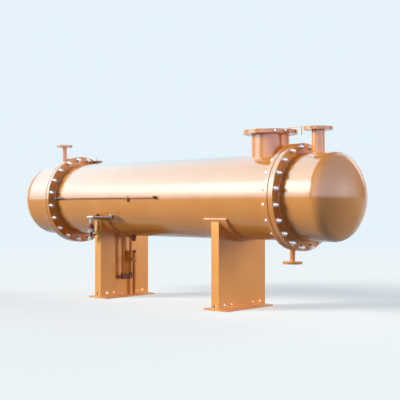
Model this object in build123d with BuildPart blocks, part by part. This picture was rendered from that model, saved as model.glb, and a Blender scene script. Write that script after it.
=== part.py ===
"""Shell and tube heat exchanger on two saddles.

X runs along the shell axis towards the front bonnet and Z is up from the ground. The origin is
on the ground under the front saddle, which is the fixed one, at the centre of its anchor holes.
Stations along X are counted from the middle of the shell. Sizes are in mm.
"""

import os
from math import atan2, cos, degrees, radians, sin, sqrt

from build123d import *

os.makedirs("parts", exist_ok=True)

# Shell
axis_height = 820
shell_diameter = 616
shell_wall = 8
shell_length = 2344

# Girth joints between the shell and the bonnets
gasket_width = 30
gasket_thickness = 3
girth_bolt_gap = 22.5
girth_edge = 25
girth_bolt_count = 20
girth_bolt_hole = 22
tubesheet_thickness = 28
raised_face_height = 2
bonnet_flange_thickness = 40

# Bonnets
front_barrel_length = 222
rear_barrel_length = 265
head_straight = 25
head_depth = 185
head_knuckle = 103

# Tube bundle
tube_diameter = 38
tube_pitch = 52
bundle_clearance = 20

# Shell nozzle on top, near the front end
shell_nozzle_setback = 230
shell_nozzle_pipe = 273
shell_nozzle_wall = 8
shell_nozzle_flange_thickness = 28
shell_nozzle_face_width = 23.5
shell_nozzle_bolt_gap = 15
shell_nozzle_edge = 22.5
shell_nozzle_bolt_count = 12
shell_nozzle_bolt_hole = 22
shell_nozzle_projection = 485

# Front bonnet nozzle on top
bonnet_nozzle_reach = 110
bonnet_nozzle_pipe = 89
bonnet_nozzle_wall = 5
bonnet_nozzle_flange_thickness = 22
bonnet_nozzle_face_width = 21.5
bonnet_nozzle_bolt_gap = 14
bonnet_nozzle_edge = 20
bonnet_nozzle_bolt_count = 8
bonnet_nozzle_bolt_hole = 18
bonnet_nozzle_projection = 487

# Vent nozzle on the rear bonnet and drain nozzle under the shell
vent_nozzle_reach = 175
vent_nozzle_projection = 495
drain_nozzle_setback = 34
drain_nozzle_projection = 474
small_nozzle_pipe = 38
small_nozzle_wall = 4
small_nozzle_flange_thickness = 18
small_nozzle_face_width = 19
small_nozzle_bolt_gap = 12
small_nozzle_edge = 20
small_nozzle_bolt_count = 4
small_nozzle_bolt_hole = 18
nozzle_face_height = 2

# Saddles
saddle_spacing = 1290
saddle_width = 540
saddle_depth = 72
saddle_plate = 14
base_plate_thickness = 12
base_plate_margin = 5
wear_plate_thickness = 14
wear_plate_margin = 74
wear_plate_wrap = 120
anchor_gap = 39
anchor_edge = 35
anchor_inset = 140
anchor_hole = 22
anchor_slot_length = 44
corner_hole = 30
corner_hole_inset = 70
corner_hole_height = 30
inner_hole = 18
inner_hole_spacing = 75
foot_hole = 26
foot_hole_height = 22

# Instrument line along the side of the shell
side_line_diameter = 12
side_line_standoff = 14
side_line_rise = 5
side_line_end = 68
side_line_nut = 26
side_line_nut_length = 44
side_line_body = 18
side_line_body_length = 97
side_line_boss = 22
clip_station = -243
clip_width = 16
clip_drop = 30

# Sample branch and its valve on the side of the shell
branch_diameter = 22
branch_standoff = 44
branch_clearance = 14
branch_rear = -715
branch_front = -405
branch_stub_rear = -632
branch_stub_front = -451
branch_stub = 20
branch_plug = 18
branch_plug_height = 28
branch_plug_inset = 25
sample_valve_inset = 42
sample_neck = 24
sample_neck_length = 23
sample_nut = 36
sample_nut_length = 15
sample_seat_length = 5
sample_body = 44
sample_body_length = 40
sample_disc = 58
sample_disc_length = 15
sample_stem = 20
sample_stem_length = 38
sample_outlet = 30
sample_outlet_length = 26
sample_lever_length = 60
sample_lever_diameter = 12

# Drain loop and standpipe in front of the rear saddle's web
loop_diameter = 20
loop_fitting = 30
loop_fitting_length = 34
loop_clearance = 30
loop_near = -63
loop_far = 28
loop_height = 166
loop_valve_diameter = 36
loop_valve_height = 92
loop_valve_drop = 158
loop_knob = 34
loop_knob_reach = 40
standpipe_diameter = 26
standpipe_place = 68
standpipe_headroom = 112
standpipe_cap = 34
standpipe_cap_height = 24

# Drain plug under the shell beside the rear saddle
drain_plug_gap = 15
drain_plug_diameter = 40
drain_plug_length = 30
drain_plug_head = 28
drain_plug_head_length = 14

# Vent valve on the rear tubesheet
vent_valve_gap = 32
vent_valve_angle = 72
vent_nut = 28
vent_nut_length = 30
vent_body = 24
vent_body_length = 78
vent_tip = 15
vent_tip_length = 32
vent_stem_diameter = 10
vent_stem_height = 48

# Values worked out from the sizes above
shell_radius = shell_diameter / 2
shell_bore = shell_diameter - 2 * shell_wall
shell_end = shell_length / 2
bundle_diameter = shell_bore - 2 * bundle_clearance
raised_face_diameter = shell_bore + 2 * gasket_width
girth_bolt_circle = raised_face_diameter + 2 * girth_bolt_gap
girth_diameter = girth_bolt_circle + 2 * girth_edge
shell_middle = -saddle_spacing / 2
tubesheet_back = shell_end + tubesheet_thickness
gasket_start = tubesheet_back + raised_face_height
bonnet_face = gasket_start + gasket_thickness
bonnet_flange_start = bonnet_face + raised_face_height
bonnet_start = bonnet_flange_start + bonnet_flange_thickness
girth_bolt_start = 180 / girth_bolt_count
saddle_radius = shell_radius + wear_plate_thickness
saddle_height = axis_height - base_plate_thickness
saddle_crown = axis_height - saddle_radius
loop_valve_level = saddle_crown - loop_valve_drop
standpipe_top = saddle_crown - standpipe_headroom
wear_plate_length = saddle_depth + 2 * wear_plate_margin
anchor_spacing_along = saddle_depth + 2 * anchor_gap
anchor_spacing_across = saddle_width - 2 * anchor_inset
base_plate_length = anchor_spacing_along + 2 * anchor_edge
base_plate_width = saddle_width + 2 * base_plate_margin
branch_radius = shell_radius + branch_standoff
wear_plate_tip = 90 - wear_plate_wrap / 2
branch_angle = wear_plate_tip - degrees((branch_stub / 2 + branch_clearance) / shell_radius)
branch_y = -branch_radius * cos(radians(branch_angle))
branch_z = axis_height - branch_radius * sin(radians(branch_angle))

FRONT = 1
REAR = -1
UP = 1
DOWN = -1


def at(station, y, z):
    """Point at a station along the shell, across it and above the ground."""
    return (shell_middle + station, y, z)


def across_axis(x, facing=FRONT):
    """Plane square to the shell axis, centred on it, with its second axis upwards."""
    return Plane(origin=at(x, 0, axis_height), x_dir=(0, facing, 0), z_dir=(facing, 0, 0))


def plan_at_axis():
    """Level plane through the shell axis, centred on the middle of the shell."""
    return Plane(origin=at(0, 0, axis_height))


def add_rod(start, end, diameter, mode=Mode.ADD):
    """Round bar between two points, given by station, in the part that is being built."""
    start = Vector(*at(*start))
    run = Vector(*at(*end)) - start
    with Locations(Plane(origin=start, z_dir=run)):
        Cylinder(diameter / 2, run.length, align=(Align.CENTER, Align.CENTER, Align.MIN), mode=mode)


def save(part, name):
    """Label a finished piece and write it."""
    part.label = name
    export_step(part, f"parts/{name}.step")


def make_shell():
    """Rolled shell with the openings for the top nozzle and the drain."""
    with BuildPart() as shell:
        with BuildSketch(across_axis(-shell_end)):
            Circle(shell_radius)
            Circle(shell_bore / 2, mode=Mode.SUBTRACT)
        extrude(amount=shell_length)
        with BuildSketch(plan_at_axis()):
            with Locations((shell_nozzle_x, 0)):
                Circle(shell_nozzle_pipe / 2 - shell_nozzle_wall)
        extrude(amount=shell_diameter, mode=Mode.SUBTRACT)
        with BuildSketch(plan_at_axis()):
            with Locations((drain_nozzle_x, 0)):
                Circle(small_nozzle_pipe / 2 - small_nozzle_wall)
        extrude(amount=-shell_diameter, mode=Mode.SUBTRACT)
    return shell.part


def make_tubesheet(end):
    """Tubesheet that reaches out past the shell as its bolting flange."""
    with BuildPart() as tubesheet:
        with BuildSketch(across_axis(end * shell_end, end)):
            Circle(girth_diameter / 2)
            with PolarLocations(girth_bolt_circle / 2, girth_bolt_count, girth_bolt_start):
                Circle(girth_bolt_hole / 2, mode=Mode.SUBTRACT)
        extrude(amount=tubesheet_thickness)
        with BuildSketch(across_axis(end * tubesheet_back, end)):
            Circle(raised_face_diameter / 2)
        extrude(amount=raised_face_height)
    return tubesheet.part


def make_gasket(end):
    """Flat gasket between the raised faces."""
    with BuildPart() as gasket:
        with BuildSketch(across_axis(end * gasket_start, end)):
            Circle(raised_face_diameter / 2)
            Circle(shell_bore / 2, mode=Mode.SUBTRACT)
        extrude(amount=gasket_thickness)
    return gasket.part


def make_bonnet_flange(end):
    """Bonnet's girth flange with its raised face and bolt holes."""
    with BuildPart() as flange:
        with BuildSketch(across_axis(end * bonnet_face, end)):
            Circle(raised_face_diameter / 2)
            Circle(shell_bore / 2, mode=Mode.SUBTRACT)
        extrude(amount=raised_face_height)
        with BuildSketch(across_axis(end * bonnet_flange_start, end)):
            Circle(girth_diameter / 2)
            Circle(shell_bore / 2, mode=Mode.SUBTRACT)
            with PolarLocations(girth_bolt_circle / 2, girth_bolt_count, girth_bolt_start):
                Circle(girth_bolt_hole / 2, mode=Mode.SUBTRACT)
        extrude(amount=bonnet_flange_thickness)
    return flange.part


def make_barrel(end, length, nozzle_x, nozzle_bore):
    """Bonnet's straight barrel with the opening for its nozzle."""
    with BuildPart() as barrel:
        with BuildSketch(across_axis(end * bonnet_start, end)):
            Circle(shell_radius)
            Circle(shell_bore / 2, mode=Mode.SUBTRACT)
        extrude(amount=length)
        with BuildSketch(plan_at_axis()):
            with Locations((nozzle_x, 0)):
                Circle(nozzle_bore / 2)
        extrude(amount=shell_diameter, mode=Mode.SUBTRACT)
    return barrel.part


def make_head(end, barrel_length):
    """Dished head: a straight skirt, a knuckle and a crown of two tangent arcs, turned about the axis."""
    seam = Plane(
        origin=at(end * (bonnet_start + barrel_length), 0, axis_height),
        x_dir=(end, 0, 0),
        z_dir=(0, -end, 0),
    )
    crown = head_straight + head_depth
    knuckle_level = shell_radius - head_knuckle
    crown_radius = (head_depth**2 + knuckle_level**2 - head_knuckle**2) / (2 * (head_depth - head_knuckle))
    meeting = degrees(atan2(knuckle_level, crown_radius - head_depth))
    with BuildPart() as head:
        with BuildSketch(seam):
            with BuildLine():
                for inset in (0, shell_wall):
                    radius = shell_radius - inset
                    Line((0, radius), (head_straight, radius))
                    CenterArc((head_straight, knuckle_level), head_knuckle - inset, meeting, 90 - meeting)
                    CenterArc((crown - crown_radius, 0), crown_radius - inset, 0, meeting)
                Line((0, shell_bore / 2), (0, shell_radius))
                Line((crown - shell_wall, 0), (crown, 0))
            make_face()
        revolve(axis=Axis((0, 0, axis_height), (1, 0, 0)))
    return head.part


def make_neck(x, side, pipe, wall, underside):
    """Nozzle pipe from the shell's outer surface to the underside of its flange."""
    with BuildPart() as neck:
        with BuildSketch(plan_at_axis()):
            with Locations((x, 0)):
                Circle(pipe / 2)
                Circle(pipe / 2 - wall, mode=Mode.SUBTRACT)
        extrude(amount=side * underside)
        with BuildSketch(across_axis(x - pipe)):
            Circle(shell_radius)
        extrude(amount=2 * pipe, mode=Mode.SUBTRACT)
    return neck.part


def make_nozzle_flange(x, side, pipe, wall, thickness, face_width, bolt_gap, edge, count, hole, projection):
    """Nozzle flange with its raised face; the bolt holes straddle the shell axis."""
    bore = pipe - 2 * wall
    face = pipe + 2 * face_width
    bolt_circle = face + 2 * bolt_gap
    flange = bolt_circle + 2 * edge
    underside = axis_height + side * (projection - nozzle_face_height - thickness)
    with BuildPart() as ring:
        with BuildSketch(Plane(origin=at(x, 0, underside), x_dir=(1, 0, 0), z_dir=(0, 0, side))):
            Circle(flange / 2)
            Circle(bore / 2, mode=Mode.SUBTRACT)
            with PolarLocations(bolt_circle / 2, count, 180 / count):
                Circle(hole / 2, mode=Mode.SUBTRACT)
        extrude(amount=thickness)
        top = underside + side * thickness
        with BuildSketch(Plane(origin=at(x, 0, top), x_dir=(1, 0, 0), z_dir=(0, 0, side))):
            Circle(face / 2)
            Circle(bore / 2, mode=Mode.SUBTRACT)
        extrude(amount=nozzle_face_height)
    return ring.part


def make_wear_plate(x):
    """Curved plate between the shell and its saddle."""
    lower = -90 - wear_plate_wrap / 2
    tip = radians(wear_plate_wrap / 2)
    with BuildPart() as plate:
        with BuildSketch(across_axis(x - wear_plate_length / 2)):
            with BuildLine():
                CenterArc((0, 0), shell_radius, lower, wear_plate_wrap)
                CenterArc((0, 0), saddle_radius, lower, wear_plate_wrap)
                for side in (-1, 1):
                    inner = (side * shell_radius * sin(tip), -shell_radius * cos(tip))
                    outer = (side * saddle_radius * sin(tip), -saddle_radius * cos(tip))
                    Line(inner, outer)
            make_face()
        extrude(amount=wear_plate_length)
    return plate.part


def make_web(x):
    """Saddle's upright web, cut round to the wear plate, with two holes in each lower corner."""
    hole_level = corner_hole_height - saddle_height
    hole_place = saddle_width / 2 - corner_hole_inset
    inner_place = hole_place - inner_hole_spacing
    with BuildPart() as web:
        with BuildSketch(across_axis(x + saddle_depth / 2, REAR)):
            with Locations((0, -saddle_height / 2)):
                Rectangle(saddle_width, saddle_height)
            Circle(saddle_radius, mode=Mode.SUBTRACT)
            with Locations((-hole_place, hole_level), (hole_place, hole_level)):
                Circle(corner_hole / 2, mode=Mode.SUBTRACT)
            with Locations((-inner_place, hole_level), (inner_place, hole_level)):
                Circle(inner_hole / 2, mode=Mode.SUBTRACT)
        extrude(amount=saddle_plate)
    return web.part


def make_uprights(x, places):
    """Plates that stand behind the web, at the given places across the shell."""
    with BuildPart() as uprights:
        with BuildSketch(across_axis(x + saddle_depth / 2 - saddle_plate, REAR)):
            for place in places:
                with Locations((place, -saddle_height / 2)):
                    Rectangle(saddle_plate, saddle_height)
            Circle(saddle_radius, mode=Mode.SUBTRACT)
        extrude(amount=saddle_depth - saddle_plate)
    return uprights.part


def make_end_plates(x):
    """The saddle's two side plates, each with a hole near its foot."""
    place = (saddle_width - saddle_plate) / 2
    middle = Plane(origin=at(x, 0, base_plate_thickness), x_dir=(1, 0, 0), z_dir=(0, -1, 0))
    with BuildPart() as plates:
        add(make_uprights(x, (-place, place)))
        with BuildSketch(middle):
            with Locations((0, foot_hole_height)):
                Circle(foot_hole / 2)
        extrude(amount=saddle_width, both=True, mode=Mode.SUBTRACT)
    return plates.part


def make_base_plate(x, slotted):
    """Saddle's foot, with round anchor holes or slots that let the shell grow."""
    with BuildPart() as plate:
        with BuildSketch(Plane(origin=at(x, 0, 0))):
            Rectangle(base_plate_length, base_plate_width)
            with GridLocations(anchor_spacing_along, anchor_spacing_across, 2, 2):
                if slotted:
                    SlotOverall(anchor_slot_length, anchor_hole, mode=Mode.SUBTRACT)
                else:
                    Circle(anchor_hole / 2, mode=Mode.SUBTRACT)
        extrude(amount=base_plate_thickness)
    return plate.part


def make_tube_bundle():
    """Straight tubes between the two tubesheets, on a triangular pitch."""
    row_height = tube_pitch * sqrt(3) / 2
    reach = int(bundle_diameter / row_height)
    limit = (bundle_diameter - tube_diameter) / 2
    places = []
    for row in range(-reach, reach + 1):
        for column in range(-reach, reach + 1):
            across = (column + (row % 2) / 2) * tube_pitch
            rise = row * row_height
            if Vector(across, rise).length <= limit:
                places.append((across, rise))
    with BuildPart() as bundle:
        with BuildSketch(across_axis(-shell_end)):
            with Locations(*places):
                Circle(tube_diameter / 2)
        extrude(amount=shell_length)
    return bundle.part


def make_side_line():
    """Instrument line with its fittings at the rear tubesheet, its clip and its boss on the shell."""
    line_y = -(shell_radius + side_line_standoff)
    line_z = axis_height + side_line_rise
    nut_end = side_line_nut_length - shell_end
    body_end = nut_end + side_line_body_length
    clip_low = line_z - clip_drop
    clip_height = clip_drop + side_line_diameter
    with BuildPart() as line:
        add_rod((-shell_end, line_y, line_z), (side_line_end, line_y, line_z), side_line_diameter)
        add_rod((nut_end, line_y, line_z), (body_end, line_y, line_z), side_line_body)
        with BuildSketch(Plane(origin=at(-shell_end, line_y, line_z), x_dir=(0, 1, 0), z_dir=(1, 0, 0))):
            RegularPolygon(side_line_nut / 2, 6)
        extrude(amount=side_line_nut_length)
        boss_face = line_y - side_line_boss / 2
        add_rod((side_line_end, boss_face, line_z), (side_line_end, 0, line_z), side_line_boss)
        with BuildSketch(Plane(origin=at(clip_station, line_y, clip_low), x_dir=(1, 0, 0), z_dir=(0, 1, 0))):
            with Locations((0, -clip_height / 2)):
                Rectangle(clip_width, clip_height)
        extrude(amount=side_line_standoff)
        with BuildSketch(across_axis(-shell_end)):
            Circle(shell_radius)
        extrude(amount=shell_length, mode=Mode.SUBTRACT)
    return line.part


def make_sample_branch():
    """Short pipe held off the shell by two stubs square to it, with a plug on top."""
    with BuildPart() as branch:
        add_rod((branch_rear, branch_y, branch_z), (branch_front, branch_y, branch_z), branch_diameter)
        for station in (branch_stub_rear, branch_stub_front):
            add_rod((station, branch_y, branch_z), (station, 0, axis_height), branch_stub)
        plug_x = branch_front - branch_plug_inset
        plug_top = branch_z + branch_plug_height
        add_rod((plug_x, branch_y, branch_z), (plug_x, branch_y, plug_top), branch_plug)
        with BuildSketch(across_axis(-shell_end)):
            Circle(shell_radius)
        extrude(amount=shell_length, mode=Mode.SUBTRACT)
    return branch.part


def make_sample_valve():
    """Upright valve under the branch's rear end: union nuts, body, disc, stem with lever, and outlet."""
    valve_x = branch_rear + sample_valve_inset
    sections = (
        (sample_neck, sample_neck_length, False),
        (sample_nut, sample_nut_length, True),
        (sample_neck, sample_seat_length, False),
        (sample_nut, sample_nut_length, True),
        (sample_neck, sample_seat_length, False),
        (sample_body, sample_body_length, False),
        (sample_neck, sample_seat_length, False),
        (sample_disc, sample_disc_length, False),
        (sample_stem, sample_stem_length, False),
        (sample_outlet, sample_outlet_length, False),
    )
    with BuildPart() as valve:
        level = branch_z
        for width, drop, is_nut in sections:
            with BuildSketch(Plane(origin=at(valve_x, branch_y, level), x_dir=(1, 0, 0), z_dir=(0, 0, -1))):
                if is_nut:
                    RegularPolygon(width / 2, 6)
                else:
                    Circle(width / 2)
            extrude(amount=drop)
            level -= drop
        lever_level = level + sample_outlet_length + sample_stem_length / 2
        lever_end = (valve_x + sample_lever_length, branch_y, lever_level)
        add_rod((valve_x, branch_y, lever_level), lever_end, sample_lever_diameter)
        pipe_ends = ((branch_rear, branch_y, branch_z), (branch_front, branch_y, branch_z))
        add_rod(*pipe_ends, branch_diameter, mode=Mode.SUBTRACT)
    return valve.part


def make_drain_loop():
    """Two legs from the saddle down to a cross run, with elbows and a valve on the far leg."""
    top = axis_height
    with BuildPart() as loop:
        for place in (loop_near, loop_far):
            add_rod((loop_x, place, loop_height), (loop_x, place, top), loop_diameter)
            elbow_top = loop_height + loop_fitting_length
            elbow_low = loop_height - loop_fitting / 2
            add_rod((loop_x, place, elbow_low), (loop_x, place, elbow_top), loop_fitting)
        add_rod((loop_x, loop_near, loop_height), (loop_x, loop_far, loop_height), loop_diameter)
        for place, inward in ((loop_near, 1), (loop_far, -1)):
            elbow_end = place + inward * loop_fitting_length
            add_rod((loop_x, place, loop_height), (loop_x, elbow_end, loop_height), loop_fitting)
        valve_low = loop_valve_level - loop_valve_height / 2
        valve_high = loop_valve_level + loop_valve_height / 2
        add_rod((loop_x, loop_far, valve_low), (loop_x, loop_far, valve_high), loop_valve_diameter)
        knob_end = loop_x + loop_valve_diameter / 2 + loop_knob_reach
        stem = loop_knob / 2
        add_rod((loop_x, loop_far, valve_low + stem), (knob_end, loop_far, valve_low + stem), stem)
        knob_start = knob_end - stem
        add_rod((knob_start, loop_far, valve_low + stem), (knob_end, loop_far, valve_low + stem), loop_knob)
        with BuildSketch(across_axis(loop_x - loop_fitting)):
            Circle(saddle_radius)
        extrude(amount=2 * loop_fitting, mode=Mode.SUBTRACT)
    return loop.part


def make_standpipe():
    """Capped pipe that stands on the rear saddle's foot beside the drain loop."""
    with BuildPart() as pipe:
        foot = (loop_x, standpipe_place, base_plate_thickness)
        add_rod(foot, (loop_x, standpipe_place, standpipe_top), standpipe_diameter)
        cap_low = standpipe_top - standpipe_cap_height
        add_rod((loop_x, standpipe_place, cap_low), (loop_x, standpipe_place, standpipe_top), standpipe_cap)
    return pipe.part


def make_drain_plug():
    """Coupling under the shell with its hexagon plug."""
    with BuildPart() as plug:
        coupling_low = axis_height - shell_radius - drain_plug_length
        add_rod((drain_plug_x, 0, axis_height), (drain_plug_x, 0, coupling_low), drain_plug_diameter)
        with BuildSketch(Plane(origin=at(drain_plug_x, 0, coupling_low), x_dir=(1, 0, 0), z_dir=(0, 0, -1))):
            RegularPolygon(drain_plug_head / 2, 6)
        extrude(amount=drain_plug_head_length)
        with BuildSketch(across_axis(-shell_end)):
            Circle(shell_radius)
        extrude(amount=shell_length, mode=Mode.SUBTRACT)
    return plug.part


def make_vent_valve():
    """Valve screwed into the rear tubesheet over the shell, with an upright stem."""
    turn = radians(vent_valve_angle)
    valve_radius = shell_radius + vent_valve_gap + vent_body / 2
    valve_y = valve_radius * cos(turn)
    valve_z = axis_height + valve_radius * sin(turn)
    nut_end = vent_nut_length - shell_end
    body_end = nut_end + vent_body_length
    tip_end = body_end + vent_tip_length
    stem_x = (nut_end + body_end) / 2
    with BuildPart() as valve:
        with BuildSketch(Plane(origin=at(-shell_end, valve_y, valve_z), x_dir=(0, 1, 0), z_dir=(1, 0, 0))):
            RegularPolygon(vent_nut / 2, 6)
        extrude(amount=vent_nut_length)
        add_rod((nut_end, valve_y, valve_z), (body_end, valve_y, valve_z), vent_body)
        add_rod((body_end, valve_y, valve_z), (tip_end, valve_y, valve_z), vent_tip)
        stem_top = valve_z + vent_stem_height
        add_rod((stem_x, valve_y, valve_z), (stem_x, valve_y, stem_top), vent_stem_diameter)
    return valve.part


# Places worked out from the sizes
shell_nozzle_x = shell_end - shell_nozzle_setback
drain_nozzle_x = shell_end - drain_nozzle_setback
bonnet_nozzle_x = bonnet_start + bonnet_nozzle_reach
vent_nozzle_x = -(bonnet_start + vent_nozzle_reach)
front_saddle_x = saddle_spacing / 2
rear_saddle_x = -saddle_spacing / 2
loop_x = rear_saddle_x + saddle_depth / 2 + loop_clearance + loop_diameter / 2
drain_plug_x = rear_saddle_x + wear_plate_length / 2 + drain_plug_gap + drain_plug_diameter / 2

# Shell, girth joints and bonnets
save(make_shell(), "shell")
for end, name, barrel_length, nozzle_x, nozzle_pipe, nozzle_wall in (
    (FRONT, "front", front_barrel_length, bonnet_nozzle_x, bonnet_nozzle_pipe, bonnet_nozzle_wall),
    (REAR, "rear", rear_barrel_length, vent_nozzle_x, small_nozzle_pipe, small_nozzle_wall),
):
    save(make_tubesheet(end), f"{name}_tubesheet")
    save(make_gasket(end), f"{name}_gasket")
    save(make_bonnet_flange(end), f"{name}_bonnet_flange")
    save(make_barrel(end, barrel_length, nozzle_x, nozzle_pipe - 2 * nozzle_wall), f"{name}_bonnet_barrel")
    save(make_head(end, barrel_length), f"{name}_bonnet_head")
save(make_tube_bundle(), "tube_bundle")

# Nozzles
small_drilling = (
    small_nozzle_flange_thickness, small_nozzle_face_width, small_nozzle_bolt_gap, small_nozzle_edge,
    small_nozzle_bolt_count, small_nozzle_bolt_hole,
)
nozzles = (
    (
        "shell_nozzle", shell_nozzle_x, UP, shell_nozzle_pipe, shell_nozzle_wall,
        (
            shell_nozzle_flange_thickness, shell_nozzle_face_width, shell_nozzle_bolt_gap, shell_nozzle_edge,
            shell_nozzle_bolt_count, shell_nozzle_bolt_hole,
        ),
        shell_nozzle_projection,
    ),
    (
        "bonnet_nozzle", bonnet_nozzle_x, UP, bonnet_nozzle_pipe, bonnet_nozzle_wall,
        (
            bonnet_nozzle_flange_thickness, bonnet_nozzle_face_width, bonnet_nozzle_bolt_gap,
            bonnet_nozzle_edge, bonnet_nozzle_bolt_count, bonnet_nozzle_bolt_hole,
        ),
        bonnet_nozzle_projection,
    ),
    (
        "vent_nozzle", vent_nozzle_x, UP, small_nozzle_pipe, small_nozzle_wall,
        small_drilling, vent_nozzle_projection,
    ),
    (
        "drain_nozzle", drain_nozzle_x, DOWN, small_nozzle_pipe, small_nozzle_wall,
        small_drilling, drain_nozzle_projection,
    ),
)
for name, x, side, pipe, wall, drilling, projection in nozzles:
    underside = projection - nozzle_face_height - drilling[0]
    save(make_neck(x, side, pipe, wall, underside), f"{name}_neck")
    save(make_nozzle_flange(x, side, pipe, wall, *drilling, projection), f"{name}_flange")

# Saddles: the front one is fixed and the rear one slides
for name, x, slotted in (("front_saddle", front_saddle_x, False), ("rear_saddle", rear_saddle_x, True)):
    save(make_wear_plate(x), f"{name}_wear_plate")
    save(make_web(x), f"{name}_web")
    save(make_end_plates(x), f"{name}_end_plates")
    save(make_uprights(x, (0,)), f"{name}_rib")
    save(make_base_plate(x, slotted), f"{name}_base_plate")

# Small piping and valves
save(make_side_line(), "side_line")
save(make_sample_branch(), "sample_branch")
save(make_sample_valve(), "sample_valve")
save(make_drain_loop(), "drain_loop")
save(make_standpipe(), "standpipe")
save(make_drain_plug(), "shell_drain_plug")
save(make_vent_valve(), "tubesheet_vent_valve")
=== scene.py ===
"""Looks of the shell and tube heat exchanger: paint, bolting, welds, small fittings, light and camera.

Lengths are in metres, in the frame of the CAD model: X along the shell towards the front bonnet, Z up.
Angles are in degrees unless a function says otherwise.
"""

from math import acos, cos, pi, radians, sin, sqrt

import bmesh
import bpy
from mathutils import Matrix, Vector


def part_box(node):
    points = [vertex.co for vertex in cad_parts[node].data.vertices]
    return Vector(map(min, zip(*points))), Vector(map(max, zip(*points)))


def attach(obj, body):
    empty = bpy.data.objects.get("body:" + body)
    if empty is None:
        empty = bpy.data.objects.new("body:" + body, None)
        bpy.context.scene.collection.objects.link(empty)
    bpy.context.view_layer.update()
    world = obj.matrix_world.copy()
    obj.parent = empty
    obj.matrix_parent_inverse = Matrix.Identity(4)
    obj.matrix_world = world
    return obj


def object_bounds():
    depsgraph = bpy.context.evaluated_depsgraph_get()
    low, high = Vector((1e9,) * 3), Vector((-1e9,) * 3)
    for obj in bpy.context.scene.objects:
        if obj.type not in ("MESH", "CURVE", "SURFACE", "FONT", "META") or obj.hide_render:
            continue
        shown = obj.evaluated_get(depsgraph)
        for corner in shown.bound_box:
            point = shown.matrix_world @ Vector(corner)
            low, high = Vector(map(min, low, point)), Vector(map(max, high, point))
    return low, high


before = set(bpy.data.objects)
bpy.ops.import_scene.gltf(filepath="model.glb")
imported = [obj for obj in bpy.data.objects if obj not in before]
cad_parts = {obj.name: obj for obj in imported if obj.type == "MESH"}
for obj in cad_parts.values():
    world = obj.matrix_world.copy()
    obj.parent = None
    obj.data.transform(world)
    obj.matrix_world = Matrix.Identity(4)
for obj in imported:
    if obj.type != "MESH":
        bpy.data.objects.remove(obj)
cad_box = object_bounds()

# Camera, as fitted to the photograph, with focal length and centre in the photograph's pixels
photo_width = 400
camera_azimuth = 42.62
camera_elevation = -0.62
camera_distance = 6.598
camera_focal_pixels = 845.3
camera_centre_pixels = (197.6, 198.2)
camera_target_station = -0.4194
camera_reach = 1000.0
sensor_width = 36

# Girth bolting
girth_edge = 0.025
girth_bolt_count = 20
first_bolt_share = 0.5
stud_diameter = 0.020
stud_overhang = 0.012
stud_sides = 20
thread_pitch = 0.0025
thread_depth_share = 0.35
nut_width = 0.030
nut_height = 0.018
nut_corners = 6
nut_twist_rate = 7
washer_diameter = 0.036
washer_height = 0.003
washer_edge_share = 0.25
washer_sides = 32

# Welds, by the radius of the bead
shell_weld = 0.006
nozzle_weld = 0.009
small_weld = 0.004
saddle_weld = 0.006
tip_weld = 0.008
weld_sink_share = 0.35
weld_sides = 8
ripple_length = 0.009
ripple_share = 0.10
ripple_steps = 3

# Plugs in the shell nozzle's rim, and a dark plug painted as the shade of a hole in it, by their angles
# about the nozzle
rim_plug_angles = (-43, -20)
# Place of a dark plug painted as the shade of a hole in the rim
rim_hole_shade_angle = 11
rim_plug_diameter = 0.014
rim_plug_height = 0.005
rim_plug_tip_share = 0.7
rim_plug_sides = 16

# Bonding strap between the top flanges
strap_width = 0.008
strap_thickness = 0.004
strap_rise = 0.008
strap_inset = 0.030
strap_tail = 0.050
strap_tail_share = 0.72

# Edges sharper than this stay sharp in the added pieces
smooth_angle = 40

# Colours of the exchanger
paint_colour = (0.70, 0.28, 0.05)
paint_warm = (0.75, 0.315, 0.062)
# Bright orange mixed into the paint's colour at random specks: painted glints
painted_glint_colour = (1.0, 0.62, 0.30)
weld_colour = (0.80, 0.38, 0.12)
brown_colour = (0.23, 0.085, 0.050)
# Dark colour of small parts, also used as the painted shade of a hole in the nozzle's rim
dark_and_hole_shade_colour = (0.055, 0.035, 0.032)
zinc_colour = (0.62, 0.61, 0.60)
steel_colour = (0.55, 0.54, 0.52)
silver_colour = (0.60, 0.58, 0.54)
knob_colour = (0.84, 0.83, 0.80)
brass_colour = (0.60, 0.50, 0.33)
valve_red = (0.36, 0.10, 0.055)
gasket_dark = (0.030, 0.020, 0.018)
gasket_light = (0.075, 0.050, 0.042)

# Finish of the surfaces
paint_metal_share = 0.0
saddle_metal_share = 0.14
paint_roughness = 0.35
paint_roughness_spread = 0.06
paint_coat_share = 1.0
paint_coat_roughness = 0.15
coat_index = 1.5
# Share of painted glint in the paint's colour
painted_glint_share = 0.18
fitting_metal_share = 0.15
fitting_coat_share = 0.4
fitting_coat_roughness = 0.3
fitting_roughness_range = (0.30, 0.42)
fitting_shade_share = 0.3
zinc_roughness = 0.26
steel_roughness = 0.35
# Roughness of the dark plug painted as the shade of a hole in the rim
hole_shade_roughness = 0.45
metal_roughness_spread = 0.12
metal_dull_share = 0.62
gasket_roughness = 0.85

# Grain of the surfaces, as the scale, detail and roughness of its noise
tone_grain = (3.5, 4.0, 0.5)
painted_glint_grain = (900.0, 2.0, 0.5)
peel_grain = (140.0, 1.0, 0.5)
metal_grain = (220.0, 5.0, 0.65)
fibre_grain = (600.0, 4.0, 0.5)
fitting_grain = (160.0, 4.0, 0.6)
floor_grain = (0.8, 3.0, 0.5)

# Range of a share
unit_range = (0.0, 1.0)

# Parts of the grain's range over which a surface changes
grain_range = (0.3, 0.7)
tone_range = (0.35, 0.65)
painted_glint_range = (0.4, 0.75)
mark_range = (0.35, 0.62)

# Relief of the surfaces, as its strength and its depth
peel_relief = (0.04, 0.002)
metal_relief = (0.12, 0.001)
fibre_relief = (0.3, 0.001)
fitting_relief = (0.08, 0.001)

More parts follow.
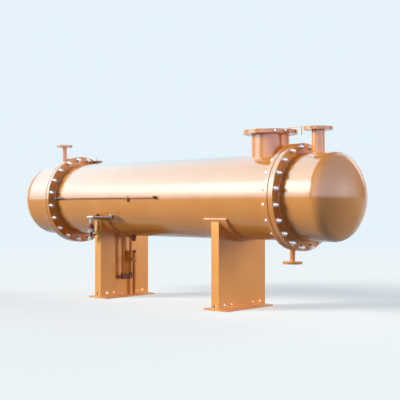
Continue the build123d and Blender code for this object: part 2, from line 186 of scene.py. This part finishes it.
# Coloured stretches of the small fittings, counted from an end of each
line_nut_end = 0.044
line_body_end = 0.141
line_boss_length = 0.023
branch_tee_length = 0.070
branch_knob_length = 0.045
branch_knob_height = 0.016
valve_nut_start = 0.014
valve_nut_end = 0.052
valve_body_end = 0.097
valve_disc_end = 0.122
valve_outlet_end = 0.026
valve_stem_end = 0.064
vent_nut_length = 0.030
vent_tip_length = 0.032
vent_stem_length = 0.036
loop_foot_height = 0.049
loop_knob_length = 0.020
standpipe_cap_height = 0.024
drain_plug_head_height = 0.014

# Floor and surroundings
background_colour = (0.79, 0.896, 0.965)
zenith_colour = (0.30, 0.37, 0.50)
floor_colour = (0.66, 0.70, 0.73)
floor_bounce = (0.15, 0.14, 0.13)
far_floor_colour = (0.0, 0.0, 0.0)
floor_mottle_share = 1.01
floor_radius = 400.0
floor_sides = 96
floor_gap = 0.0005
floor_fade_range = (5.0, 14.0)
floor_glow_range = (0.48, 1.0)
world_strength_range = (0.2, 1.0)
sky_fade_range = (0.25, 0.85)

# Suns, each by its azimuth, elevation, strength and spread
sun_colour = (1.0, 0.93, 0.84)
sun_distance = 8.0
suns = {
    "key_sun": (-40, 20, 3.7, 24),
    "end_fill": (117, 3, 2.5, 45),
    "back_fill": (175, 30, 0.7, 45),
}

# Cards that only reflections show, with their strengths at some angles
card_sides = 48
arch_distance = 6.5
arch_inner = 3.4
arch_outer = 14.0
arch_colour = (0.42, 0.79, 1.0)
arch_levels = ((0, 6.5), (40, 12.3), (80, 7.0), (140, 2.3), (180, 1.0))
dome_start = -20
dome_end = 170
dome_top = 90
dome_rows = 12
dome_radius = 12.0
dome_left_fade = 5.0
dome_right_fade = 10.0
dome_colour = (0.74, 0.78, 1.0)
dome_levels = ((0, 5.6), (8, 6.4), (45, 3.4), (80, 1.0))


# Places and directions
def box_corners(node_name):
    """Low and high corners of a node's box, as vectors."""
    low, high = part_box(node_name)
    return Vector(low), Vector(high)


def direction(azimuth, elevation):
    """Unit vector towards a place in the sky, with azimuth 0 on the camera's side of the shell."""
    turned = radians(azimuth)
    lift = radians(elevation)
    return Vector((sin(turned) * cos(lift), -cos(turned) * cos(lift), sin(lift)))


shell_low, shell_high = box_corners("shell")
axis_height = (shell_low.z + shell_high.z) / 2
shell_radius = (shell_high.z - shell_low.z) / 2
middle = Vector((camera_target_station, 0, axis_height))
along_x = Vector((1, 0, 0))
along_y = Vector((0, 1, 0))
along_z = Vector((0, 0, 1))


# Shader helpers
def new_material(name):
    """Material with its node tree and shader."""
    material = bpy.data.materials.new(name)
    material.use_nodes = True
    tree = material.node_tree
    return material, tree, tree.nodes["Principled BSDF"]


def add_node(tree, kind, **values):
    """Node with its properties and the inputs that are constants."""
    node = tree.nodes.new(kind)
    for key, value in values.items():
        if hasattr(node, key):
            setattr(node, key, value)
        else:
            node.inputs[key].default_value = value
    return node


def place_coordinates(tree):
    """Coordinates of the CAD frame, in metres."""
    return add_node(tree, "ShaderNodeTexCoord").outputs["Object"]


def split_axes(tree, coordinates):
    """X, Y and Z of the coordinates."""
    node = add_node(tree, "ShaderNodeSeparateXYZ")
    tree.links.new(coordinates, node.inputs["Vector"])
    return node.outputs


def add_noise(tree, coordinates, grain):
    """Noise over the surface, from 0 to 1."""
    scale, detail, roughness = grain
    node = add_node(tree, "ShaderNodeTexNoise", Scale=scale, Detail=detail, Roughness=roughness)
    tree.links.new(coordinates, node.inputs["Vector"])
    return node.outputs["Fac"]


def add_range(tree, value, source, target):
    """Value moved from one range to another, and kept within it."""
    node = add_node(tree, "ShaderNodeMapRange")
    node.inputs["From Min"].default_value, node.inputs["From Max"].default_value = source
    node.inputs["To Min"].default_value, node.inputs["To Max"].default_value = target
    tree.links.new(value, node.inputs["Value"])
    return node.outputs["Result"]


def mix_colours(tree, factor, first, second):
    """Mix of two colours, each a constant or a socket."""
    node = add_node(tree, "ShaderNodeMix", data_type="RGBA")
    tree.links.new(factor, node.inputs["Factor"])
    for name, colour in (("A", first), ("B", second)):
        socket = next(s for s in node.inputs if s.name == name and s.type == "RGBA")
        if isinstance(colour, tuple):
            socket.default_value = (*colour, 1)
        else:
            tree.links.new(colour, socket)
    return next(s for s in node.outputs if s.type == "RGBA")


def combine(tree, operation, first, second, is_share=True):
    """Result of one sum on two values, kept between 0 and 1 if it is a share."""
    node = add_node(tree, "ShaderNodeMath", operation=operation, use_clamp=is_share)
    for socket, value in zip(node.inputs, (first, second)):
        if isinstance(value, (int, float)):
            socket.default_value = value
        else:
            tree.links.new(value, socket)
    return node.outputs[0]


def add_bump(tree, shader, height, relief):
    """Small relief on the surface."""
    strength, depth = relief
    node = add_node(tree, "ShaderNodeBump", Strength=strength, Distance=depth)
    tree.links.new(height, node.inputs["Height"])
    tree.links.new(node.outputs["Normal"], shader.inputs["Normal"])


def add_coat(shader, share, roughness):
    """Clear coat over the colour, which takes all the gloss."""
    shader.inputs["Specular IOR Level"].default_value = 0.0
    shader.inputs["Coat Weight"].default_value = share
    shader.inputs["Coat Roughness"].default_value = roughness
    shader.inputs["Coat IOR"].default_value = coat_index


def within(tree, coordinates, axis, low, high):
    """One between two places along an axis, zero elsewhere."""
    place = split_axes(tree, coordinates)[axis]
    above = combine(tree, "GREATER_THAN", place, low)
    below = combine(tree, "LESS_THAN", place, high)
    return combine(tree, "MULTIPLY", above, below)


# Materials
def make_paint(name, dark, light, metal_share):
    """Glossy paint with painted glints (brighter specks in its colour), slight changes of tone, orange
    peel and a clear coat.
    """
    material, tree, shader = new_material(name)
    place = place_coordinates(tree)
    clouds = add_noise(tree, place, tone_grain)
    # Painted glints: random specks where the colour is lifted towards a bright orange, in place of light
    # caught by flakes
    glint_specks = add_noise(tree, place, painted_glint_grain)
    tone = mix_colours(tree, add_range(tree, clouds, tone_range, unit_range), dark, light)
    painted_glint = add_range(tree, glint_specks, painted_glint_range, (0.0, painted_glint_share))
    tree.links.new(mix_colours(tree, painted_glint, tone, painted_glint_colour), shader.inputs["Base Color"])
    roughness_range = (paint_roughness, paint_roughness + paint_roughness_spread)
    tree.links.new(add_range(tree, clouds, grain_range, roughness_range), shader.inputs["Roughness"])
    shader.inputs["Metallic"].default_value = metal_share
    add_coat(shader, paint_coat_share, paint_coat_roughness)
    add_bump(tree, shader, add_noise(tree, place, peel_grain), peel_relief)
    return material


def make_metal(name, colour, roughness):
    """Bare metal with fine marks."""
    material, tree, shader = new_material(name)
    marks = add_noise(tree, place_coordinates(tree), metal_grain)
    dull = tuple(metal_dull_share * part for part in colour)
    factor = add_range(tree, marks, mark_range, unit_range)
    tree.links.new(mix_colours(tree, factor, dull, colour), shader.inputs["Base Color"])
    roughness_range = (roughness + metal_roughness_spread, roughness)
    tree.links.new(add_range(tree, marks, grain_range, roughness_range), shader.inputs["Roughness"])
    shader.inputs["Metallic"].default_value = 1.0
    add_bump(tree, shader, marks, metal_relief)
    return material


def make_gasket(name):
    """Fibre sheet, dark and matt."""
    material, tree, shader = new_material(name)
    grain = add_noise(tree, place_coordinates(tree), fibre_grain)
    tree.links.new(mix_colours(tree, grain, gasket_dark, gasket_light), shader.inputs["Base Color"])
    shader.inputs["Roughness"].default_value = gasket_roughness
    add_bump(tree, shader, grain, fibre_relief)
    return material


def make_fitting(name, body, zones):
    """Pipe or valve of one colour with zones of others, each by its colour, metal share and limits."""
    material, tree, shader = new_material(name)
    place = place_coordinates(tree)
    marks = add_noise(tree, place, fitting_grain)
    colour = body
    metal = 0.0
    for zone_colour, metal_share, *limits in zones:
        inside = 1.0
        for axis, low, high in limits:
            inside = combine(tree, "MULTIPLY", inside, within(tree, place, axis, low, high))
        colour = mix_colours(tree, inside, colour, zone_colour)
        outside = combine(tree, "MULTIPLY", metal, combine(tree, "SUBTRACT", 1.0, inside))
        metal = combine(tree, "ADD", outside, combine(tree, "MULTIPLY", inside, metal_share))
    shade = add_range(tree, marks, grain_range, (0.0, fitting_shade_share))
    tree.links.new(mix_colours(tree, shade, colour, dark_and_hole_shade_colour), shader.inputs["Base Color"])
    tree.links.new(metal, shader.inputs["Metallic"])
    roughness = add_range(tree, marks, grain_range, fitting_roughness_range)
    tree.links.new(roughness, shader.inputs["Roughness"])
    add_coat(shader, fitting_coat_share, fitting_coat_roughness)
    add_bump(tree, shader, marks, fitting_relief)
    return material


def from_low(node_name, axis, start, end):
    """Limits of a stretch along an axis, counted up from the low end of a node."""
    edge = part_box(node_name)[0]["XYZ".index(axis)]
    return axis, edge + start, edge + end


def from_high(node_name, axis, start, end):
    """Limits of a stretch along an axis, counted down from the high end of a node."""
    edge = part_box(node_name)[1]["XYZ".index(axis)]
    return axis, edge - end, edge - start


paint = make_paint("copper_paint", paint_colour, paint_warm, paint_metal_share)
saddle_paint = make_paint("saddle_paint", paint_colour, paint_warm, saddle_metal_share)
weld_paint = make_paint("weld_paint", paint_warm, weld_colour, paint_metal_share)
zinc = make_metal("zinc_bolting", zinc_colour, zinc_roughness)
steel = make_metal("tube_steel", steel_colour, steel_roughness)
# Dark metal painted as the shade of a hole in the nozzle's rim
hole_shade_metal = make_metal("hole_shade_dark", dark_and_hole_shade_colour, hole_shade_roughness)
gasket = make_gasket("gasket_fibre")

line_material = make_fitting("side_line_finish", paint_colour, (
    (silver_colour, fitting_metal_share, from_low("side_line", "X", 0, line_nut_end)),
    (brown_colour, 0.0, from_low("side_line", "X", line_nut_end, line_body_end)),
    (brown_colour, 0.0, from_high("side_line", "X", 0, line_boss_length)),
))
branch_material = make_fitting("sample_branch_finish", brown_colour, (
    (silver_colour, fitting_metal_share, from_low("sample_branch", "X", 0, branch_tee_length)),
    (
        knob_colour,
        fitting_metal_share,
        from_high("sample_branch", "X", 0, branch_knob_length),
        from_high("sample_branch", "Z", 0, branch_knob_height),
    ),
))
valve_material = make_fitting("sample_valve_finish", silver_colour, (
    (brass_colour, fitting_metal_share, from_high("sample_valve", "Z", valve_nut_start, valve_nut_end)),
    (valve_red, 0.0, from_high("sample_valve", "Z", valve_nut_end, valve_body_end)),
    (silver_colour, fitting_metal_share, from_high("sample_valve", "Z", valve_body_end, valve_disc_end)),
    (dark_and_hole_shade_colour, 0.0, from_low("sample_valve", "Z", valve_outlet_end, valve_stem_end)),
    (brass_colour, fitting_metal_share, from_low("sample_valve", "Z", 0, valve_outlet_end)),
))
vent_material = make_fitting("vent_valve_finish", valve_red, (
    (brass_colour, fitting_metal_share, from_low("tubesheet_vent_valve", "X", 0, vent_nut_length)),
    (brown_colour, 0.0, from_high("tubesheet_vent_valve", "X", 0, vent_tip_length)),
    (silver_colour, fitting_metal_share, from_high("tubesheet_vent_valve", "Z", 0, vent_stem_length)),
))
loop_material = make_fitting("drain_loop_finish", paint_colour, (
    (brown_colour, 0.0, from_low("drain_loop", "Z", 0, loop_foot_height)),
    (knob_colour, fitting_metal_share, from_high("drain_loop", "X", 0, loop_knob_length)),
))
pipe_material = make_fitting("standpipe_finish", paint_colour, (
    (brown_colour, 0.0, from_high("standpipe", "Z", 0, standpipe_cap_height)),
))
plug_material = make_fitting("drain_plug_finish", brown_colour, (
    (dark_and_hole_shade_colour, 0.0, from_low("shell_drain_plug", "Z", 0, drain_plug_head_height)),
))

node_materials = {
    "front_gasket": gasket,
    "rear_gasket": gasket,
    "tube_bundle": steel,
    "side_line": line_material,
    "sample_branch": branch_material,
    "sample_valve": valve_material,
    "tubesheet_vent_valve": vent_material,
    "drain_loop": loop_material,
    "standpipe": pipe_material,
    "shell_drain_plug": plug_material,
}
for node_name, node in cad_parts.items():
    node.data.materials.clear()
    usual = saddle_paint if "saddle" in node_name else paint
    node.data.materials.append(node_materials.get(node_name, usual))


# Mesh helpers
def add_object(name, mesh, material):
    """Turns a finished mesh into an object of one material."""
    data = bpy.data.meshes.new(name)
    mesh.to_mesh(data)
    mesh.free()
    data.materials.append(material)
    thing = bpy.data.objects.new(name, data)
    bpy.context.scene.collection.objects.link(thing)
    return thing


def add_piece(name, mesh, material):
    """Turns a finished mesh into a piece that rides with the exchanger."""
    bmesh.ops.recalc_face_normals(mesh, faces=mesh.faces)
    piece = add_object(name, mesh, material)
    for polygon in piece.data.polygons:
        polygon.use_smooth = True
    piece.data.set_sharp_from_angle(angle=radians(smooth_angle))
    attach(piece, "root")


def add_stage(name, mesh, material):
    """Turns a finished mesh into a floor or card, which isn't part of the exchanger."""
    thing = add_object(name, mesh, material)
    return thing


def facing(place, way):
    """Matrix at a place, with its Z axis along a direction."""
    return Matrix.Translation(place) @ way.to_track_quat("Z", "Y").to_matrix().to_4x4()


def add_rings(mesh, rings, closed=False):
    """Joins rings of points, one after the other, and caps the ends unless the run is closed."""
    loops = [[mesh.verts.new(point) for point in ring] for ring in rings]
    pairs = list(zip(loops, loops[1:]))
    if closed:
        pairs.append((loops[-1], loops[0]))
    for first, second in pairs:
        count = len(first)
        for i in range(count):
            j = (i + 1) % count
            mesh.faces.new((first[i], first[j], second[j], second[i]))
    if not closed:
        mesh.faces.new(reversed(loops[0]))
        mesh.faces.new(loops[-1])


def turn(mesh, matrix, profile, sides):
    """Solid of revolution about the matrix's Z axis, from radius and height pairs."""
    rings = []
    for radius, height in profile:
        ring = []
        for i in range(sides):
            angle = 2 * pi * i / sides
            ring.append(matrix @ Vector((radius * cos(angle), radius * sin(angle), height)))
        rings.append(ring)
    add_rings(mesh, rings)


def add_nut(mesh, matrix, width, height):
    """Hexagon nut with its corners chamfered on the outer face."""
    corner = width / sqrt(3)
    flat = width / 2
    chamfer = corner - flat
    levels = ((0, corner, 0), (height - chamfer, corner, chamfer / 2), (height, flat, 0))
    rings = []
    for level, reach, lift in levels:
        ring = []
        for i in range(2 * nut_corners):
            is_corner = i % 2 == 0
            radius = reach if is_corner else flat
            rise = level if is_corner else level + lift
            angle = pi * i / nut_corners
            ring.append(matrix @ Vector((radius * cos(angle), radius * sin(angle), rise)))
        rings.append(ring)
    add_rings(mesh, rings)


def add_washer(mesh, matrix, diameter, height):
    """Flat washer with its outer edge broken."""
    edge = height * washer_edge_share
    radius = diameter / 2
    turn(mesh, matrix, ((radius, 0), (radius, height - edge), (radius - edge, height)), washer_sides)


def thread_profile(radius, start, length, pitch):
    """Radius and height pairs of a threaded end with a chamfered tip."""
    depth = pitch * thread_depth_share
    turns = int((length - depth) / pitch)
    profile = []
    for i in range(turns):
        base = start + i * pitch
        profile += [(radius - depth, base), (radius, base + pitch / 2)]
    profile += [(radius - depth, start + length - depth), (radius - 2 * depth, start + length)]
    return profile


def add_bead(mesh, points, normals, radius, closed=False):
    """Weld bead along a run of points: a round section with ripples, partly sunk in the corner."""
    count = len(points)
    rings = []
    travelled = 0.0
    for i, point in enumerate(points):
        before = points[i - 1] if closed or i else point
        after = points[(i + 1) % count] if closed or i + 1 < count else point
        along = (after - before).normalized()
        if i:
            travelled += (point - points[i - 1]).length
        size = radius * (1 + ripple_share * sin(2 * pi * travelled / ripple_length))
        up = (normals[i] - along * normals[i].dot(along)).normalized()
        side = along.cross(up)
        ring = []
        for k in range(weld_sides):
            angle = 2 * pi * k / weld_sides
            ring.append(point + up * size * (cos(angle) - weld_sink_share) + side * size * sin(angle))
        rings.append(ring)
    add_rings(mesh, rings, closed)


def along_arc(centre, first, second, radius, start, end):
    """Points and outward normals on an arc, by its two axes and its angles in radians."""
    count = int(abs(end - start) * radius * ripple_steps / ripple_length)
    is_full = abs(end - start) >= 2 * pi
    points = []
    normals = []
    for i in range(count if is_full else count + 1):
        angle = start + (end - start) * i / count
        normal = first * cos(angle) + second * sin(angle)
        points.append(centre + normal * radius)
        normals.append(normal)
    return points, normals


def along_line(start, end):
    """Points on a straight run."""
    count = int((end - start).length * ripple_steps / ripple_length)
    return [start + (end - start) * i / count for i in range(count + 1)]


# Girth studs and nuts
def make_girth_bolting(end, way):
    """Studs round one girth joint, with a washer and a nut at each end, each nut turned differently."""
    sheet_low, sheet_high = box_corners(f"{end}_tubesheet")
    ring_low, ring_high = box_corners(f"{end}_bonnet_flange")
    inner = sheet_low.x if way > 0 else sheet_high.x
    outer = ring_high.x if way > 0 else ring_low.x
    bolt_radius = (sheet_high.z - sheet_low.z) / 2 - girth_edge
    stud_radius = stud_diameter / 2
    nut_end = washer_height + nut_height
    stud = [(stud_radius, 0)] + thread_profile(stud_radius, nut_end, stud_overhang, thread_pitch)
    on_washer = Matrix.Translation((0, 0, washer_height))
    mesh = bmesh.new()
    for i in range(girth_bolt_count):
        angle = 2 * pi * (i + first_bolt_share) / girth_bolt_count
        place = Vector((0, bolt_radius * cos(angle), axis_height + bolt_radius * sin(angle)))
        twist = Matrix.Rotation(angle * nut_twist_rate, 4, "Z")
        for face, side in ((outer, way), (inner, -way)):
            seat = facing(place + along_x * face, along_x * side)
            add_washer(mesh, seat, washer_diameter, washer_height)
            add_nut(mesh, seat @ on_washer @ twist, nut_width, nut_height)
            turn(mesh, seat, stud, stud_sides)
    add_piece(f"{end}_girth_bolting", mesh, zinc)


# Welds
def make_girth_welds():
    """Beads where the shell and the barrels meet the girth flanges."""
    mesh = bmesh.new()
    front = box_corners("front_bonnet_flange")[1].x
    rear = box_corners("rear_bonnet_flange")[0].x
    for x in (shell_low.x, shell_high.x, front, rear):
        centre = Vector((x, 0, axis_height))
        points, normals = along_arc(centre, along_y, along_z, shell_radius, 0, 2 * pi)
        add_bead(mesh, points, normals, shell_weld, closed=True)
    add_piece("girth_welds", mesh, weld_paint)


def make_nozzle_welds():
    """Beads round the foot of each nozzle, on the curved shell, and under its flange."""
    mesh = bmesh.new()
    for nozzle, size in (
        ("shell_nozzle", nozzle_weld),
        ("bonnet_nozzle", small_weld),
        ("vent_nozzle", small_weld),
        ("drain_nozzle", small_weld),
    ):
        low, high = box_corners(f"{nozzle}_neck")
        radius = (high.x - low.x) / 2
        side = 1 if low.z > axis_height else -1
        centre = Vector(((low.x + high.x) / 2, 0, axis_height))
        rim, outward = along_arc(centre, along_x, along_y, radius, 0, 2 * pi)
        foot = [point + along_z * side * sqrt(shell_radius**2 - point.y**2) for point in rim]
        add_bead(mesh, foot, [normal + along_z * side for normal in outward], size, closed=True)
        flange_level = high.z if side > 0 else low.z
        under = [point + along_z * (flange_level - axis_height) for point in rim]
        add_bead(mesh, under, [normal - along_z * side for normal in outward], small_weld, closed=True)
    add_piece("nozzle_welds", mesh, weld_paint)


def make_saddle_welds(end):
    """Beads round one wear plate, along the top of the web and along its foot."""
    mesh = bmesh.new()
    low, high = box_corners(f"{end}_saddle_wear_plate")
    web_low, web_high = box_corners(f"{end}_saddle_web")
    tip = acos((axis_height - high.z) / shell_radius)
    down = -along_z
    axis_point = Vector((0, 0, axis_height))
    for x in (low.x, high.x):
        points, normals = along_arc(axis_point + along_x * x, down, along_y, shell_radius, -tip, tip)
        add_bead(mesh, points, normals, saddle_weld)
    for side in (-1, 1):
        normal = down * cos(tip) + along_y * side * sin(tip)
        corner = axis_point + normal * shell_radius
        points = along_line(corner + along_x * low.x, corner + along_x * high.x)
        add_bead(mesh, points, [normal + along_z] * len(points), tip_weld)
    plate_radius = shell_radius + shell_low.z - low.z
    reach = acos((axis_height - web_high.z) / plate_radius)
    centre = axis_point + along_x * web_high.x
    points, normals = along_arc(centre, down, along_y, plate_radius, -reach, reach)
    add_bead(mesh, points, [normal + along_x for normal in normals], small_weld)
    near_foot = Vector((web_high.x, web_low.y, web_low.z))
    far_foot = Vector((web_high.x, web_high.y, web_low.z))
    points = along_line(near_foot, far_foot)
    add_bead(mesh, points, [along_x + along_z] * len(points), small_weld)
    add_piece(f"{end}_saddle_welds", mesh, weld_paint)


# Details of the top nozzles
def make_rim_plugs(name, angles, material):
    """Round plugs in the rim of the shell nozzle's flange."""
    low, high = box_corners("shell_nozzle_flange")
    radius = (high.x - low.x) / 2
    centre = Vector(((low.x + high.x) / 2, 0, (low.z + high.z) / 2))
    plug = rim_plug_diameter / 2
    profile = (
        (plug, -rim_plug_height),
        (plug, rim_plug_height / 2),
        (plug * rim_plug_tip_share, rim_plug_height),
    )
    mesh = bmesh.new()
    for angle in angles:
        outward = along_x * cos(radians(angle)) + along_y * sin(radians(angle))
        turn(mesh, facing(centre + outward * radius, outward), profile, rim_plug_sides)
    add_piece(name, mesh, material)


def make_bonding_strap():
    """Flat strap that bonds the two top flanges, with a free tail."""
    high = box_corners("shell_nozzle_flange")[1]
    ring_low = box_corners("bonnet_nozzle_flange")[0]
    foot = Vector((high.x - strap_inset, 0, high.z))
    corner = foot + along_z * strap_rise
    far = Vector((ring_low.x, 0, corner.z))
    fork = corner.lerp(far, strap_tail_share)
    wide = along_y * strap_width / 2
    mesh = bmesh.new()
    for start, end in ((foot, corner), (corner, far), (fork, fork - along_z * strap_tail)):
        along = (end - start).normalized() * strap_thickness / 2
        thick = along.cross(along_y)
        section = (wide + thick, thick - wide, -wide - thick, wide - thick)
        add_rings(mesh, [[point + offset for offset in section] for point in (start - along, end + along)])
    add_piece("bonding_strap", mesh, paint)


make_girth_bolting("front", 1)
make_girth_bolting("rear", -1)
make_girth_welds()
make_nozzle_welds()
make_saddle_welds("front")
make_saddle_welds("rear")
make_rim_plugs("nozzle_rim_plugs", rim_plug_angles, zinc)
# A dark plug stands in for a hole in the rim: painted shade
make_rim_plugs("nozzle_rim_hole_shade", (rim_hole_shade_angle,), hole_shade_metal)
make_bonding_strap()


# Floor and surroundings
def seen_rays(tree):
    """One for rays of the camera, of reflections and of glass, zero for the light's own."""
    rays = add_node(tree, "ShaderNodeLightPath").outputs
    seen = combine(tree, "ADD", rays["Is Camera Ray"], rays["Is Glossy Ray"])
    return combine(tree, "ADD", seen, rays["Is Transmission Ray"])


def make_floor():
    """Plain pale floor that runs into the pale surroundings far away."""
    material, tree, shader = new_material("pale_floor")
    place = place_coordinates(tree)
    length = add_node(tree, "ShaderNodeVectorMath", operation="LENGTH")
    tree.links.new(place, length.inputs[0])
    far = add_range(tree, length.outputs["Value"], floor_fade_range, unit_range)
    seen = seen_rays(tree)
    mottled = tuple(part * floor_mottle_share for part in floor_colour)
    pale = mix_colours(tree, add_noise(tree, place, floor_grain), floor_colour, mottled)
    tone = mix_colours(tree, seen, floor_bounce, pale)
    tree.links.new(mix_colours(tree, far, tone, far_floor_colour), shader.inputs["Base Color"])
    glow = add_range(tree, far, unit_range, floor_glow_range)
    shader.inputs["Emission Color"].default_value = (*background_colour, 1)
    tree.links.new(combine(tree, "MULTIPLY", seen, glow), shader.inputs["Emission Strength"])
    shader.inputs["Roughness"].default_value = 1.0
    shader.inputs["Specular IOR Level"].default_value = 0.0
    mesh = bmesh.new()
    bmesh.ops.create_circle(mesh, cap_ends=True, segments=floor_sides, radius=floor_radius)
    floor = add_stage("floor", mesh, material)
    floor.location.z = cad_box[0][2] - floor_gap


def make_world():
    """Pale surroundings that turn to a deeper sky high up, and give a lower fill light than they show."""
    world = bpy.data.worlds.new("surroundings")
    world.use_nodes = True
    tree = world.node_tree
    background = tree.nodes["Background"]
    rise = split_axes(tree, add_node(tree, "ShaderNodeTexCoord").outputs["Generated"])["Z"]
    height = add_range(tree, rise, sky_fade_range, unit_range)
    colour = mix_colours(tree, height, background_colour, zenith_colour)
    tree.links.new(colour, background.inputs["Color"])
    strength = add_range(tree, seen_rays(tree), unit_range, world_strength_range)
    tree.links.new(strength, background.inputs["Strength"])
    bpy.context.scene.world = world


# Cards for reflections
def angle_about_shell(tree, parts):
    """Angle about the shell's axis, in radians from the horizon on the camera's side."""
    rise = combine(tree, "SUBTRACT", parts["Z"], axis_height, is_share=False)
    near = combine(tree, "MULTIPLY", parts["Y"], -1.0, is_share=False)
    return combine(tree, "ARCTAN2", rise, near, is_share=False)


def angle_of_height(tree, parts):
    """Angle above the horizon, in radians, on the dome."""
    rise = combine(tree, "SUBTRACT", parts["Z"], axis_height, is_share=False)
    return combine(tree, "ARCSINE", combine(tree, "DIVIDE", rise, dome_radius), 0.0, is_share=False)


def make_glow(name, colour, find_angle, levels, fades):
    """Soft light for reflections, by its strength at some angles and its fades along X or Y."""
    material = bpy.data.materials.new(name)
    material.use_nodes = True
    tree = material.node_tree
    tree.nodes.clear()
    parts = split_axes(tree, place_coordinates(tree))
    angle = find_angle(tree, parts)
    radiance = levels[0][1]
    for (start, first), (end, second) in zip(levels, levels[1:]):
        change = add_range(tree, angle, (radians(start), radians(end)), (0.0, second - first))
        radiance = combine(tree, "ADD", radiance, change, is_share=False)
    for axis, dark, bright in fades:
        share = add_range(tree, parts[axis], (dark, bright), unit_range)
        radiance = combine(tree, "MULTIPLY", radiance, share, is_share=False)
    glow = add_node(tree, "ShaderNodeEmission", Color=(*colour, 1))
    tree.links.new(radiance, glow.inputs["Strength"])
    output = add_node(tree, "ShaderNodeOutputMaterial")
    tree.links.new(glow.outputs["Emission"], output.inputs["Surface"])
    return material


def add_card(name, rows, material):
    """Sheet through rows of points, seen in reflections only."""
    mesh = bmesh.new()
    grid = [[mesh.verts.new(point) for point in row] for row in rows]
    for first, second in zip(grid, grid[1:]):
        for i in range(len(first) - 1):
            mesh.faces.new((first[i], first[i + 1], second[i + 1], second[i]))
    card = add_stage(name, mesh, material)
    card.visible_camera = False
    card.visible_diffuse = False
    card.visible_shadow = False


def make_arch():
    """Arch of soft light beyond the rear end, which the shell's upper half mirrors."""
    centre = middle - along_x * arch_distance
    rows = []
    for i in range(card_sides + 1):
        angle = pi * i / card_sides
        outward = along_y * cos(angle) + along_z * sin(angle)
        rows.append([centre + outward * reach for reach in (arch_inner, arch_outer)])
    glow = make_glow("arch_light", arch_colour, angle_about_shell, arch_levels, ())
    add_card("soft_arch", rows, glow)


def make_dome():
    """Part of a dome of soft light round the front end, which the dished head mirrors."""
    heights = [dome_top * k / dome_rows for k in range(dome_rows)]
    rows = []
    for i in range(card_sides + 1):
        azimuth = dome_start + (dome_end - dome_start) * i / card_sides
        rows.append([middle + direction(azimuth, height) * dome_radius for height in heights])
    left = middle + direction(dome_start, 0) * dome_radius
    right = middle + direction(dome_end, 0) * dome_radius
    fades = (("X", left.x, left.x + dome_left_fade), ("Y", right.y, right.y - dome_right_fade))
    glow = make_glow("dome_light", dome_colour, angle_of_height, dome_levels, fades)
    add_card("soft_dome", rows, glow)


# Suns and camera
def add_sun(name, azimuth, elevation, strength, spread):
    """Sun that shines on the exchanger from a place in the sky."""
    data = bpy.data.lights.new(name, "SUN")
    data.energy = strength
    data.angle = radians(spread)
    data.color = sun_colour
    sun = bpy.data.objects.new(name, data)
    bpy.context.scene.collection.objects.link(sun)
    towards = direction(azimuth, elevation)
    sun.location = middle + towards * sun_distance
    sun.rotation_euler = (-towards).to_track_quat("-Z", "Y").to_euler()


def make_camera():
    """Camera at the photograph's viewpoint."""
    data = bpy.data.cameras.new("camera")
    data.sensor_width = sensor_width
    data.lens = camera_focal_pixels / photo_width * sensor_width
    data.shift_x = (photo_width / 2 - camera_centre_pixels[0]) / photo_width
    data.shift_y = (camera_centre_pixels[1] - photo_width / 2) / photo_width
    data.clip_end = camera_reach
    camera = bpy.data.objects.new("camera", data)
    bpy.context.scene.collection.objects.link(camera)
    back = direction(camera_azimuth, camera_elevation)
    camera.location = middle + back * camera_distance
    camera.rotation_euler = (-back).to_track_quat("-Z", "Y").to_euler()
    bpy.context.scene.camera = camera


make_floor()
make_world()
make_arch()
make_dome()
for sun_name, sun_values in suns.items():
    add_sun(sun_name, *sun_values)
make_camera()
bpy.context.scene.view_settings.view_transform = "Standard"
